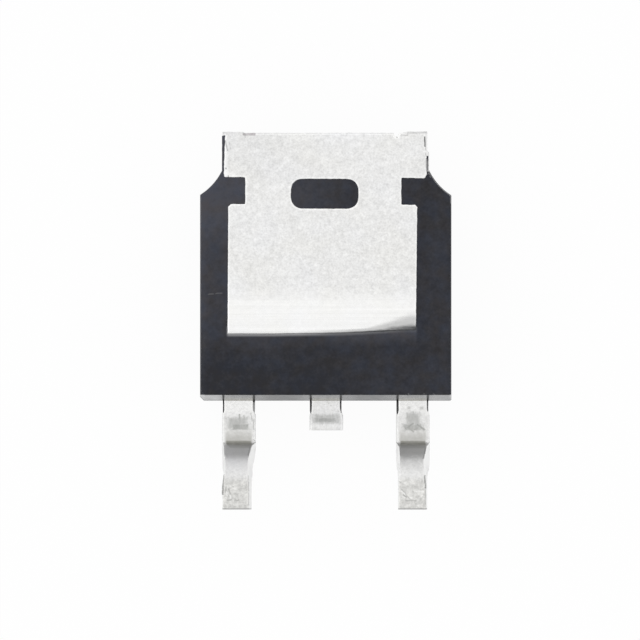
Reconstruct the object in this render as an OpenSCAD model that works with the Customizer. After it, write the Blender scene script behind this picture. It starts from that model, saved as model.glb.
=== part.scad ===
// Surface-mount voltage regulator in a tabbed three-pin package, millimetres.
// It lies on its marked face: Z = 0 is that face, and +Z is the normal of the solder side.
// +Y runs from the lead tips to the heat tab, and X runs across the leads.
// The origin is the centre of the whole outline, on the marked face.

/* [Moulding] */
// Height from the marked face to the solder plane
package_h = 2.30; // [2.20:0.01:2.40]
// Width across the sides at the parting plane
body_w = 6.60; // [6.50:0.01:6.70]
// Length from the lead end to the tab end at the parting plane
body_l = 6.10; // [6.00:0.01:6.20]
// How far the moulding's solder side stays below the bare pad
mould_recess = 0.03; // [0.02:0.005:0.05]
// Draft of the lead end wall on the solder side, in degrees
end_draft = 9; // [5:0.5:12]
// Draft of the other walls on the solder side, in degrees
side_draft = 2; // [1:0.5:4]
// Draft of every wall on the marked side, in degrees
mark_draft = 7; // [5:0.5:9]
// Flat across the upright corners of the lead end
corner_cut = 0.08; // [0.04:0.01:0.15]
// Radius of the scallop in each corner of the tab end
scallop_r = 1.59; // [1.50:0.01:1.65]
// How far outside the body's side the scallop is centred
scallop_out = 0.85; // [0.80:0.01:0.90]
// How far past the body's tab end the scallop is centred
scallop_past = 0.64; // [0.60:0.01:0.70]
// Diameter of the ejector pin's mark on the marked face
ejector_d = 1.20; // [1.00:0.05:1.40]
// Depth of the ejector pin's mark
ejector_depth = 0.06; // [0.03:0.01:0.10]

/* [Frame stock] */
// Thickness of the copper strip that tab and leads are stamped from
frame_t = 0.51; // [0.46:0.01:0.56]
// Step from the solder plane to the leads' near face where they leave the moulding
lead_drop = 1.00; // [0.95:0.01:1.05]
// Width of the rolled edge that stamping leaves on the tab and the lead roots
roll_w = 0.05; // [0.03:0.01:0.08]
// Depth of that rolled edge
roll_h = 0.16; // [0.10:0.01:0.22]

/* [Heat tab] */
// Width of the tab outside the moulding
tab_w = 5.42; // [5.30:0.01:5.46]
// How far the tab stands out of the moulding
tab_out = 0.93; // [0.85:0.01:1.00]
// How far the cut tie bars stand proud at the tab's two corners
tie_stub = 0.04; // [0.02:0.01:0.06]
// Width of each cut tie bar
tie_stub_w = 0.58; // [0.45:0.01:0.70]
// Distance from the moulding's tab end to the locking notches
notch_in = 0.25; // [0.20:0.01:0.30]
// Length of each locking notch along the tab
notch_l = 0.70; // [0.60:0.01:0.80]
// Width of the neck between the notches
neck_w = 4.10; // [3.90:0.01:4.30]
// Width of the bare pad
pad_w = 4.95; // [4.80:0.01:5.05]
// Length of the bare pad below the notches
pad_l = 3.43; // [3.35:0.01:3.50]
// How far the pad and its neck lie to the left of the centreline
pad_shift = 0.07; // [0:0.01:0.10]
// How much sooner the moulding covers the pad at its right corner
pad_skew = 0.14; // [0.10:0.01:0.20]
// How much sooner the moulding covers the pad at its middle
pad_skew_mid = 0.03; // [0:0.01:0.08]
// Flat across the pad's two corners at the notches
pad_corner = 0.07; // [0.03:0.01:0.12]
// Width of the mould slot
slot_w = 1.77; // [1.60:0.01:1.90]
// Length of the mould slot along the tab
slot_l = 0.78; // [0.70:0.01:0.85]
// Corner radius of the mould slot
slot_r = 0.29; // [0.20:0.01:0.33]
// Distance from the moulding's tab end to the middle of the slot
slot_in = 0.67; // [0.62:0.01:0.72]
// How far the slot lies to the left of the centreline
slot_shift = 0.03; // [0:0.01:0.06]
// Width of the coined lip that locks the pad into the moulding
lip_w = 0.19; // [0.12:0.01:0.24]
// Thickness of the coined lip
lip_t = 0.26; // [0.20:0.01:0.30]
// Width of the middle lead's strap inside the moulding
strap_w = 0.90; // [0.80:0.01:1.00]
// Slope of the strap's step down to the lead plane, in degrees
strap_angle = 60; // [50:1:65]
// Inside radius of the strap's bends
strap_bend_r = 0.15; // [0.10:0.01:0.20]
// How far the cropped middle lead stands out of the moulding
stub_out = 0.78; // [0.65:0.01:0.90]

/* [Leads] */
// Spacing of the lead centres
lead_pitch = 2.286; // [2.27:0.001:2.30]
// Reach of the outer leads past the moulding
lead_out = 2.85; // [2.75:0.01:2.95]
// Width of a lead at its root
root_w = 0.84; // [0.80:0.01:0.86]
// Length of the root, from the moulding to the dam bar's cut
root_l = 0.32; // [0.25:0.01:0.40]
// Width across the cut dam bar
dam_w = 0.90; // [0.88:0.01:0.96]
// Width of the foot and of the bend above it
foot_w = 0.76; // [0.70:0.01:0.80]
// Distance from the moulding to the crease of the first bend
crease_out = 1.05; // [0.98:0.01:1.10]
// Length over which the dam bar's cut tapers to the foot's width
taper_l = 0.22; // [0.15:0.01:0.30]
// Slope of the lead between its bends, in degrees
lead_angle = 70; // [62:1:74]
// Inside radius of the first bend, at the crease
crease_r = 0.12; // [0.08:0.01:0.18]
// Inside radius of the second bend, under the heel
heel_r = 0.23; // [0.18:0.01:0.28]
// Width of the bond post inside the moulding
post_w = 1.45; // [1.30:0.01:1.55]
// Length of the bond post
post_l = 0.75; // [0.65:0.01:0.85]
// Length of the neck from the bond post to the moulding's end wall
post_neck_l = 0.60; // [0.50:0.01:0.70]
// Diameter of the hole that locks the bond post into the moulding
lock_hole_d = 0.36; // [0.30:0.01:0.40]

/* [Chip] */
// Width of the silicon die
die_w = 2.10; // [1.90:0.01:2.30]
// Length of the silicon die
die_l = 1.90; // [1.80:0.01:2.00]
// Thickness of the silicon die
die_t = 0.25; // [0.20:0.01:0.28]
// Distance from the pad's lower end to the die
die_in = 0.45; // [0.40:0.01:0.60]
// Thickness of the solder under the die
solder_t = 0.04; // [0.03:0.005:0.06]
// How far the solder shows past the die
solder_margin = 0.06; // [0.03:0.01:0.10]

/* [Bond wires] */
// Diameter of a bond wire
wire_d = 0.075; // [0.05:0.005:0.09]
// Diameter of the ball at the die
ball_d = 0.16; // [0.14:0.01:0.18]
// Height of the ball at the die
ball_h = 0.04; // [0.03:0.01:0.06]
// Spacing of two wires side by side
wire_pitch = 0.32; // [0.28:0.01:0.36]
// Distance from the die's edge to its bond pads
bond_in = 0.20; // [0.15:0.01:0.25]
// Radius of the bends in a wire
wire_bend_r = 0.15; // [0.12:0.01:0.16]
// Height of a wire's loop over the bond post
post_loop = 0.24; // [0.20:0.01:0.26]
// Height of the ground wire's loop over the die
ground_loop = 0.35; // [0.30:0.01:0.40]
// Radius of the arc in which a wire comes down to the bond post
post_fall_r = 0.65; // [0.55:0.01:0.75]
// Radius of the arc in which the ground wire comes down to the pad
ground_fall_r = 0.70; // [0.70:0.01:0.75]
// Reach of the ground wire from the die's bond pad to the pad beside the die
ground_span = 0.95; // [0.92:0.01:1.00]

/* [Hidden] */

mould_colour = [0.20, 0.20, 0.22];
tin_colour = [0.84, 0.84, 0.83];
silicon_colour = [0.36, 0.38, 0.44];
solder_colour = [0.62, 0.63, 0.64];
wire_colour = [0.86, 0.68, 0.36];

// Overshoot of a cutting tool past the face that it cuts
over = 0.2;
// Straight facets in each bend of a strip
arc_steps = 14;
// Angle by which a wire's last arc runs on past its landing, where it is cut flush
past_landing = 20;

// Heights, from the marked face up
z_seat = package_h;
z_mould = package_h - mould_recess;
z_plate = package_h - frame_t;
z_lead_near = package_h - lead_drop;
z_lead_far = z_lead_near - frame_t;
z_part = z_lead_near;
z_solder = z_plate - solder_t;
z_die = z_solder - die_t;

// Places along Y, from the lead tips to the tab
overall_l = lead_out + body_l + tab_out + tie_stub;
y_tip = -overall_l / 2;
y_front = y_tip + lead_out;
y_rear = y_front + body_l;
y_tab = y_rear + tab_out;
y_notch_rear = y_rear - notch_in;
y_notch_front = y_notch_rear - notch_l;
y_pad = y_notch_front - pad_l;
y_slot = y_rear - slot_in;
y_die = y_pad + die_in;
y_post = y_front + post_neck_l + post_l;

// How far the draft moves each kind of wall
end_run = (z_mould - z_part) * tan(end_draft);
side_run = (z_mould - z_part) * tan(side_draft);
mark_run = z_part * tan(mark_draft);

// Where the wires land on a bond post
y_post_land = y_post - post_l / 2 + lock_hole_d / 2;

// Helpers

// Puts a shape drawn as (x, distance out of the lead end, height) in its place
module outwards() {
  translate([0, y_front, 0]) mirror([0, 1, 0]) children();
}

// Points of an arc about a centre, from one angle to another
function arc(centre, r, from, to) = [
  for (i = [0 : arc_steps]) let (a = from + (to - from) * i / arc_steps)
    centre + r * [cos(a), sin(a)]
];

// How far a step reaches along the strip: two bends, and the slope between them
function step_reach(angle, r_first, r_second) =
  (r_first + r_second + frame_t) * sin(angle)
  + (lead_drop - (r_first + r_second + frame_t) * (1 - cos(angle))) / tan(angle);

// One face of a strip that steps up by lead_drop, in side view. It starts at `start` on the upper
// face, and a depth of 0 gives that face, and one of frame_t the lower face
function step_face(start, angle, r_first, r_second, depth) = concat(
  arc(start + [0, r_first], r_first + depth, -90, -90 + angle),
  arc(
    start + [step_reach(angle, r_first, r_second), lead_drop - r_second - frame_t],
    r_second + frame_t - depth, 90 + angle, 90
  )
);

// The same points in the opposite order
function backwards(points) = [for (i = [len(points) - 1 : -1 : 0]) points[i]];

// The same points upside down
function upside_down(points) = [for (p = points) [p[0], -p[1]]];

// Strip of a given width whose side view is drawn as (distance out of the lead end, height)
module strip(width) {
  translate([-width / 2, 0, 0])
    rotate([90, 0, 90])
      linear_extrude(width)
        children();
}

// Sharp-edged prism that cuts a rolled edge along a side at x, from y_from to y_to, side +1 or -1
module roll_cut(x, side, z_top, y_from, y_to) {
  translate([x, y_to, z_top])
    rotate([90, 0, 0])
      linear_extrude(y_to - y_from)
        polygon([
          [-side * roll_w, 0],
          [-side * roll_w, over],
          [side * over, over],
          [side * over, -roll_h],
          [0, -roll_h],
        ]);
}

// Moulding

// Outline of the moulding with drafted walls, before the metal is taken out of it
module mould_shell() {
  intersection() {
    // side view, with the steeper draft of the lead end
    translate([-body_w, 0, 0])
      rotate([90, 0, 90])
        linear_extrude(2 * body_w)
          polygon([
            [y_front + mark_run, 0],
            [y_rear - mark_run, 0],
            [y_rear, z_part],
            [y_rear - side_run, z_mould],
            [y_front + end_run, z_mould],
            [y_front, z_part],
          ]);
    // view from the lead end
    translate([0, y_rear + over, 0])
      rotate([90, 0, 0])
        linear_extrude(body_l + 2 * over)
          polygon([
            [-body_w / 2 + mark_run, 0],
            [body_w / 2 - mark_run, 0],
            [body_w / 2, z_part],
            [body_w / 2 - side_run, z_mould],
            [-body_w / 2 + side_run, z_mould],
            [-body_w / 2, z_part],
          ]);
    // plan, with the corners of the lead end cut
    translate([0, 0, -over])
      linear_extrude(package_h + 2 * over)
        polygon([
          [-body_w / 2 + corner_cut, y_front],
          [body_w / 2 - corner_cut, y_front],
          [body_w / 2, y_front + corner_cut],
          [body_w / 2, y_rear],
          [-body_w / 2, y_rear],
          [-body_w / 2, y_front + corner_cut],
        ]);
  }
}

// Pair of cones that scoops one corner of the tab end, widest at the two faces
module scallop(side) {
  up = (z_mould - z_part + over) * tan(side_draft);
  down = (z_part + over) * tan(mark_draft);
  translate([side * (body_w / 2 + scallop_out), y_rear + scallop_past, 0]) {
    translate([0, 0, z_part])
      cylinder(h = z_mould - z_part + over, r1 = scallop_r, r2 = scallop_r + up, $fn = 144);
    translate([0, 0, -over])
      cylinder(h = z_part + over, r1 = scallop_r + down, r2 = scallop_r, $fn = 144);
  }
}

module moulded_body() {
  color(mould_colour)
    difference() {
      mould_shell();
      scallop(1);
      scallop(-1);
      translate([0, (y_front + y_rear) / 2, -over])
        cylinder(h = ejector_depth + over, d = ejector_d, $fn = 96);
      tab_metal();
      lead_metal(1);
      lead_metal(-1);
      die_block();
      solder_layer();
      input_wire(0);
      input_wire(1);
      output_wire(0);
      output_wire(1);
      ground_bond();
    }
}

// Heat tab, pad and middle lead, stamped and formed as one piece

// Tab outside the moulding, with the cut tie bars proud at its corners
module tab_plan() {
  half = tab_w / 2;
  inner = half - tie_stub_w;
  polygon([
    [-half, y_notch_rear],
    [half, y_notch_rear],
    [half, y_tab + tie_stub],
    [inner, y_tab + tie_stub],
    [inner - tie_stub, y_tab],
    [-inner + tie_stub, y_tab],
    [-inner, y_tab + tie_stub],
    [-half, y_tab + tie_stub],
  ]);
}

// Bare pad, whose lower edge slants where the moulding creeps over it
module pad_plan() {
  left = -pad_shift - pad_w / 2;
  right = -pad_shift + pad_w / 2;
  polygon([
    [left, y_pad],
    [-pad_shift, y_pad + pad_skew_mid],
    [right, y_pad + pad_skew],
    [right, y_notch_front - pad_corner],
    [right - pad_corner, y_notch_front],
    [left + pad_corner, y_notch_front],
    [left, y_notch_front - pad_corner],
  ]);
}

// Neck between the notches, run into the tab and the pad
module neck_plan() {
  translate([-pad_shift - neck_w / 2, y_notch_front - over])
    square([neck_w, notch_l + 2 * over]);
}

// Slot that the moulding fills
module slot_plan() {
  translate([-slot_shift, y_slot]) {
    square([slot_w - 2 * slot_r, slot_l], center = true);
    square([slot_w, slot_l - 2 * slot_r], center = true);
    for (x = [-1, 1], y = [-1, 1])
      translate([x * (slot_w / 2 - slot_r), y * (slot_l / 2 - slot_r)])
        circle(r = slot_r, $fn = 64);
  }
}

// Coined lip under the moulding, on three sides of the pad
module lip_plan() {
  translate([-pad_shift - pad_w / 2 - lip_w, y_pad - lip_w])
    square([pad_w + 2 * lip_w, pad_l + lip_w - pad_corner]);
}

// Side view of the middle lead: a step down from the pad, then level to the cropped end
module strap_profile() {
  start = [y_front - y_pad, -z_plate];
  lower = upside_down(step_face(start, strap_angle, strap_bend_r, strap_bend_r, 0));
  upper = upside_down(step_face(start, strap_angle, strap_bend_r, strap_bend_r, frame_t));
  polygon(concat(
    [[start[0] - over, z_seat], [start[0] - over, z_plate]],
    lower,
    [[stub_out, z_lead_far], [stub_out, z_lead_near]],
    backwards(upper)
  ));
}

// Plan of the middle lead in (x, distance out): strap, root and cut dam bar, past both its ends
module strap_plan() {
  inside = y_pad - y_front + 2 * over;
  polygon([
    [-dam_w / 2, stub_out + over],
    [-dam_w / 2, root_l],
    [-root_w / 2, root_l],
    [-root_w / 2, -root_l],
    [-strap_w / 2, -root_l],
    [-strap_w / 2, -inside],
    [strap_w / 2, -inside],
    [strap_w / 2, -root_l],
    [root_w / 2, -root_l],
    [root_w / 2, root_l],
    [dam_w / 2, root_l],
    [dam_w / 2, stub_out + over],
  ]);
}

// Upright prism of a plan, through the whole height
module plan_prism() {
  translate([0, 0, -over])
    linear_extrude(package_h + 2 * over)
      children();
}

module tab_metal() {
  difference() {
    union() {
      translate([0, 0, z_plate])
        linear_extrude(frame_t) {
          tab_plan();
          neck_plan();
          pad_plan();
        }
      translate([0, 0, z_plate]) linear_extrude(lip_t) lip_plan();
      difference() {
        outwards()
          intersection() {
            strip(2 * strap_w) strap_profile();
            plan_prism() strap_plan();
          }
        // the strap leaves the pad at the lip's level, so no metal bulges out of the moulding
        translate([-strap_w, y_front, z_plate + lip_t])
          cube([2 * strap_w, y_pad + pad_skew + over - y_front, frame_t]);
      }
    }
    translate([0, 0, z_plate - over]) linear_extrude(frame_t + 2 * over) slot_plan();
    for (side = [-1, 1]) {
      roll_cut(side * tab_w / 2, side, z_seat, y_notch_rear - over, y_tab + over);
      roll_cut(side * root_w / 2, side, z_lead_near, y_front - root_l, y_front + root_l);
    }
  }
}

module heat_tab() {
  color(tin_colour) tab_metal();
}

// Outer leads

// Side view of an outer lead, from its bond post to the tip of its foot
module lead_profile() {
  start = [crease_out, z_lead_near];
  inside = -post_neck_l - post_l;
  polygon(concat(
    [[inside, z_lead_near], [inside, z_lead_far]],
    step_face(start, lead_angle, crease_r, heel_r, frame_t),
    [[lead_out, z_plate], [lead_out, z_seat]],
    backwards(step_face(start, lead_angle, crease_r, heel_r, 0))
  ));
}

// Plan of an outer lead in (x, distance out): bond post, neck, root, cut dam bar and foot.
// The post's outer edge is in line with the root, and it widens towards the middle
module lead_plan(side) {
  dam_end = crease_out + crease_r / 2;
  polygon([
    [-foot_w / 2, lead_out + over],
    [-foot_w / 2, dam_end + taper_l],
    [-dam_w / 2, dam_end],
    [-dam_w / 2, root_l],
    [-root_w / 2, root_l],
    [-root_w / 2, -post_neck_l - over],
    [root_w / 2, -post_neck_l - over],
    [root_w / 2, root_l],
    [dam_w / 2, root_l],
    [dam_w / 2, dam_end],
    [foot_w / 2, dam_end + taper_l],
    [foot_w / 2, lead_out + over],
  ]);
  translate([side * (root_w - post_w) / 2, -post_neck_l - (post_l + over) / 2])
    square([post_w, post_l + over], center = true);
}

// Outer lead on the right (side 1) or on the left (side -1)
module lead_metal(side) {
  translate([side * lead_pitch, 0, 0])
    difference() {
      outwards()
        intersection() {
          strip(2 * post_w) lead_profile();
          plan_prism() lead_plan(side);
        }
      translate([side * (root_w - post_w) / 2, y_post - post_l / 2 - lock_hole_d / 2, z_lead_far - over])
        cylinder(h = frame_t + 2 * over, d = lock_hole_d, $fn = 64);
      for (edge = [-1, 1])
        roll_cut(edge * root_w / 2, edge, z_lead_near, y_front - root_l, y_front + root_l);
    }
}

module pin_1_lead() {
  color(tin_colour) lead_metal(1);
}

module pin_3_lead() {
  color(tin_colour) lead_metal(-1);
}

// Chip

module die_block() {
  translate([-pad_shift - die_w / 2, y_die, z_die]) cube([die_w, die_l, die_t]);
}

module solder_layer() {
  translate([-pad_shift - die_w / 2 - solder_margin, y_die - solder_margin, z_solder])
    cube([die_w + 2 * solder_margin, die_l + 2 * solder_margin, solder_t]);
}

module silicon_die() {
  color(silicon_colour) die_block();
}

module die_solder() {
  color(solder_colour) solder_layer();
}

// Bond wires

// Wire from a ball at `start` on the die to `end`, both in plan. It rises `loop` towards the marked
// face, runs level, and comes down in an arc onto metal that lies `target` above the die
module wire(start, end, loop, target, fall_r) {
  span = norm(end - start);
  azimuth = atan2(end[1] - start[1], end[0] - start[0]);
  landing = acos(1 - (loop - target) / fall_r);
  x_fall = span - fall_r * sin(landing);
  top = loop - wire_bend_r;
  translate([start[0], start[1], z_die])
    mirror([0, 0, 1])
      rotate([0, 0, azimuth]) {
        cylinder(h = ball_h, d = ball_d, $fn = 32);
        translate([0, 0, ball_h]) cylinder(h = top - ball_h, d = wire_d, $fn = 32);
        translate([wire_bend_r, 0, top])
          rotate([90, -90, 0])
            wire_bend(wire_bend_r, 90);
        translate([wire_bend_r, 0, loop])
          rotate([0, 90, 0])
            cylinder(h = x_fall - wire_bend_r, d = wire_d, $fn = 32);
        // the arc is cut flush with the metal that it is bonded to
        difference() {
          translate([x_fall, 0, loop - fall_r])
            rotate([0, -90, 0])
              rotate([-90, 0, 0])
                wire_bend(fall_r, landing + past_landing);
          translate([span - 2 * over, -over, target - 2 * over])
            cube([4 * over, 2 * over, 2 * over]);
        }
      }
}

// Arc of wire, in plan from +X round
module wire_bend(r, angle) {
  rotate_extrude(angle = angle, $fn = 96)
    translate([r, 0])
      circle(d = wire_d, $fn = 32);
}

// Wire from the die to the bond post on one side: 0 is the outer one of the pair, 1 the inner one
module post_wire(side, place) {
  step = place * wire_pitch;
  x_start = -pad_shift + side * (die_w / 2 - bond_in - step);
  x_end = side * (lead_pitch + root_w / 2 - post_w / 2 + wire_pitch / 2 - step);
  target = z_die - z_lead_far;
  wire([x_start, y_die + bond_in], [x_end, y_post_land], target + post_loop, target, post_fall_r);
}

module input_wire(place) {
  post_wire(1, place);
}

module output_wire(place) {
  post_wire(-1, place);
}

// Wire from the die down to the pad beside it
module ground_bond() {
  x_bond = -pad_shift - die_w / 2 + bond_in;
  y_bond = y_die + die_l - bond_in;
  target = z_die - z_plate;
  wire([x_bond, y_bond], [x_bond, y_bond + ground_span], ground_loop, target, ground_fall_r);
}

module ground_wire() {
  color(wire_colour) ground_bond();
}

moulded_body();
heat_tab();
pin_1_lead();
pin_3_lead();
silicon_die();
die_solder();
color(wire_colour) input_wire(0);  // input_wire_1
color(wire_colour) input_wire(1);  // input_wire_2
color(wire_colour) output_wire(0);  // output_wire_1
color(wire_colour) output_wire(1);  // output_wire_2
ground_wire();
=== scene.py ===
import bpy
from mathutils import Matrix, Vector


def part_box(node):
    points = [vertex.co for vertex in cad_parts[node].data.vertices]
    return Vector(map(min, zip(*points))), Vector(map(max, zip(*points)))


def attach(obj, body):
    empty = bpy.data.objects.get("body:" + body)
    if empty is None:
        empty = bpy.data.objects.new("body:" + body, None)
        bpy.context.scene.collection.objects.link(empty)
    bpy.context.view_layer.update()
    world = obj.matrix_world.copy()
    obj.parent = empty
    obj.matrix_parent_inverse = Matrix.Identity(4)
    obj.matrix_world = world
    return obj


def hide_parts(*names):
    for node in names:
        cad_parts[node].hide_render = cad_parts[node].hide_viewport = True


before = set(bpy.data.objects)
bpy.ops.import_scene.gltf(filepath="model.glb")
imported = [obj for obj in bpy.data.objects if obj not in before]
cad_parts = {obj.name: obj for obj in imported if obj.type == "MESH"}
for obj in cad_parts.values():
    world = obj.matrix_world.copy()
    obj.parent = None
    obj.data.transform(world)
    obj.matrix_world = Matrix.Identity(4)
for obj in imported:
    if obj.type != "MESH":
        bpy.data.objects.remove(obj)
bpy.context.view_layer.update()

from functools import reduce

import bmesh
import bpy
import numpy as np
from bpy.props import FloatProperty, FloatVectorProperty, PointerProperty

bl_info = {
    "name": "Surface-mount voltage regulator",
    "version": (1, 0, 0),
    "blender": (4, 5, 0),
    "location": "3D View > Sidebar > Regulator",
    "description": "Moulding, tinned heat tab and leads, chip, wires and stage on the packed part",
    "category": "Object",
}

# All shapes are worked out in millimetres, and MM turns them into Blender's metres
MM = 0.001

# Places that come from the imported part
BODY_LOW, BODY_HIGH = (np.array(corner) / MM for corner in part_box("moulded_body"))
TAB_LOW, TAB_HIGH = (np.array(corner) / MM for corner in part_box("heat_tab"))
PIN_LOW = np.array(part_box("pin_1_lead")[0]) / MM
Y_FRONT, Y_REAR, Z_MOULD = BODY_LOW[1], BODY_HIGH[1], BODY_HIGH[2]
Z_SEAT = TAB_HIGH[2]
LEAD_OUT = Y_FRONT - PIN_LOW[1]
STUB_OUT = Y_FRONT - TAB_LOW[1]
# Spacing of the leads, thickness of the metal, and how far the leads lie below the solder side
LEAD_PITCH, STRIP, LEAD_DROP = 2.286, 0.51, 1.0
Z_PLATE = Z_SEAT - STRIP
Z_NEAR = Z_SEAT - LEAD_DROP
Z_FAR = Z_NEAR - STRIP
# Width of the level rim inside a rounded edge, and the mesh's longest step along an outline, each
# on the moulding and on the metal
MOULD_RIM, METAL_RIM = 0.06, 0.035
MOULD_STEP, METAL_STEP = 0.12, 0.08


# Shapes


def at_height(loop, z):
    """Points of a flat outline, lifted to height z."""
    return np.column_stack([loop, np.full(len(loop), z)])


def runs(counts):
    """For sides that get so many points each: the side of every point, and its place on it."""
    which = np.repeat(np.arange(len(counts)), counts)
    return which, np.arange(len(which)) - np.repeat(np.cumsum(counts) - counts, counts)


def corners_to_loop(corners, steps=6):
    """Closed outline through corners given as (x, y, radius). A corner with a radius becomes a
    parabola that leaves its two sides where a circle of that radius would."""
    corners = np.asarray(corners, float)
    point, radius = corners[:, :2], corners[:, 2]
    ahead = np.roll(point, -1, 0) - point
    ahead /= np.linalg.norm(ahead, axis=1, keepdims=True)
    back = np.roll(ahead, 1, 0)
    cosine = np.clip((back * ahead).sum(1), -0.99, 1)
    reach = (radius * np.sqrt((1 - cosine) / (1 + cosine)))[:, None]
    count = np.where(radius > 0, steps, 1)
    which, number = runs(count)
    share = number / np.maximum(count[which] - 1, 1)
    share = np.where(count[which] == 1, 0.5, share)[:, None]
    start, end = (point - back * reach)[which], (point + ahead * reach)[which]
    return (1 - share) ** 2 * start + 2 * share * (1 - share) * point[which] + share**2 * end


def cut_sides(loop, counts):
    """The same outline with each side cut into so many equal parts."""
    which, number = runs(counts)
    share = (number / counts[which])[:, None]
    return loop[which] * (1 - share) + np.roll(loop, -1, 0)[which] * share


def side_counts(loop, step):
    """How many parts each side of an outline needs so that none is longer than step."""
    length = np.linalg.norm(np.roll(loop, -1, 0) - loop, axis=1)
    return np.maximum(np.ceil(length / step), 1).astype(int)


def outward(loop):
    """Normal of a counter-clockwise outline at each point, lengthened at corners so that both
    sides move by the same amount."""
    ahead = np.roll(loop, -1, 0) - loop
    ahead /= np.linalg.norm(ahead, axis=1, keepdims=True)
    after = np.stack([ahead[:, 1], -ahead[:, 0]], 1)
    before = np.roll(after, 1, 0)
    return (before + after) / (1 + (before * after).sum(1, keepdims=True)).clip(0.4)


def set_in(corners, inset):
    """Corners moved inwards by inset. A corner that points out gets a smaller radius, and one that
    points in a larger one, so that the outline keeps an even margin."""
    corners = np.array(corners, float)
    ahead = np.roll(corners[:, :2], -1, 0) - corners[:, :2]
    back = np.roll(ahead, 1, 0)
    turn = np.sign(back[:, 0] * ahead[:, 1] - back[:, 1] * ahead[:, 0])
    corners[:, :2] -= outward(corners[:, :2]) * inset
    rounded = corners[:, 2] > 0
    corners[:, 2] = np.where(rounded, (corners[:, 2] - turn * inset).clip(0.004), 0)
    return corners


def waves(place, seed, size, length):
    """Smooth uneven line: a sum of sines of random phase, with wavelengths near length."""
    draw = np.random.default_rng(seed)
    rate = 2 * np.pi / (length * draw.uniform(0.5, 2.0, 7))
    phase = draw.uniform(0, 2 * np.pi, 7)
    return size * np.sin(np.multiply.outer(place, rate) + phase).sum(-1) / 7**0.5


class Surface:
    """Gathers grids of points, in millimetres, into one mesh of closed shells."""

    def __init__(self):
        self.points, self.looks, self.faces, self.flat, self.count = [], [], [], [], 0

    def add_points(self, grid, wear=0.0, front=1.0):
        """Adds a grid of points, with how much each is lightened, as a painted highlight on metal
        edges and as paler resin on fins, and how much it belongs to the front face, and returns
        their numbers."""
        shape = grid.shape[:2]
        looks = [np.broadcast_to(values, shape).reshape(-1) for values in (wear, front)]
        self.points.append(grid.reshape(-1, 3))
        self.looks.append(np.stack(looks, 1))
        first, self.count = self.count, self.count + shape[0] * shape[1]
        return np.arange(first, self.count).reshape(shape)

    def add_quads(self, index):
        """Quads between the closed rings of a grid of point numbers."""
        beside = np.roll(index, -1, 1)
        quads = np.stack([index[:-1], beside[:-1], beside[1:], index[1:]], -1).reshape(-1, 4)
        self.faces += quads.tolist()
        self.flat += [False] * len(quads)

    def add_face(self, index):
        """One flat face through the given points."""
        self.faces.append(index.tolist())
        self.flat.append(True)

    def add_tube(self, grid, wear=0.0, front=1.0):
        """Grid of rings, row by row, closed by a flat face at both ends."""
        index = self.add_points(grid, wear, front)
        self.add_quads(index)
        self.add_face(index[0])
        self.add_face(index[-1])

    def build(self, name, material, nodes):
        """The finished piece: an object at the origin that rides on the part's one body."""
        mesh = bpy.data.meshes.new(name)
        mesh.from_pydata((np.concatenate(self.points) * MM).tolist(), [], self.faces)
        for label, values in zip(("wear", "front"), np.concatenate(self.looks).T):
            layer = mesh.attributes.new(label, "FLOAT", "POINT")
            layer.data.foreach_set("value", values.astype(np.float32))
        mesh.polygons.foreach_set("use_smooth", ~np.array(self.flat))
        shell = bmesh.new()
        shell.from_mesh(mesh)
        bmesh.ops.recalc_face_normals(shell, faces=shell.faces)
        shell.to_mesh(mesh)
        shell.free()
        mesh.set_sharp_from_angle(angle=np.radians(40))
        mesh.materials.append(material)
        if mesh.validate():
            raise RuntimeError(f"{name} has faces that don't hold together")
        piece = bpy.data.objects.new(name, mesh)
        bpy.context.scene.collection.objects.link(piece)
        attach(piece, "root")
        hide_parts(*nodes)


def around(start, stop, size, step):
    """Numbers from start to stop, both of them included, round a ring of that size."""
    count = ((stop - start) * step) % size + 1
    return (start + step * np.arange(count)) % size


def quarter(radius):
    """Quarter round as (inset, depth): level at the start and upright at the end."""
    angle = np.linspace(0, np.pi / 2, 4)
    return np.stack([radius * (1 - np.sin(angle)), radius * (1 - np.cos(angle))], 1)


# Moulding

# Draft of the walls: sides and lead end towards the solder side, and all of them below the parting
SIDE_DRAFT, END_DRAFT, MARK_DRAFT = np.tan(np.radians([2, 9, 7]))
# Scallops: radius, centre outside the side and past the tab end, and how far the left one is up
SCALLOP_R, SCALLOP_OUT, SCALLOP_PAST, SCALLOP_UP = 1.59, 0.85, 0.64, 0.012
# Flats at the lead end's left and right corner, and the rounding of the upright corners
LEFT_FLAT, RIGHT_FLAT, CORNER_R = 0.1, 0.03, 0.03
# Parting ridge: half its height, and half its height with its slopes
RIDGE, RIDGE_FOOT = 0.004, 0.012
# Depth of the ejector mark, and depth of its rounded rim
EJECTOR_DEPTH, EJECTOR_LIP = 0.06, 0.012


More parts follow.
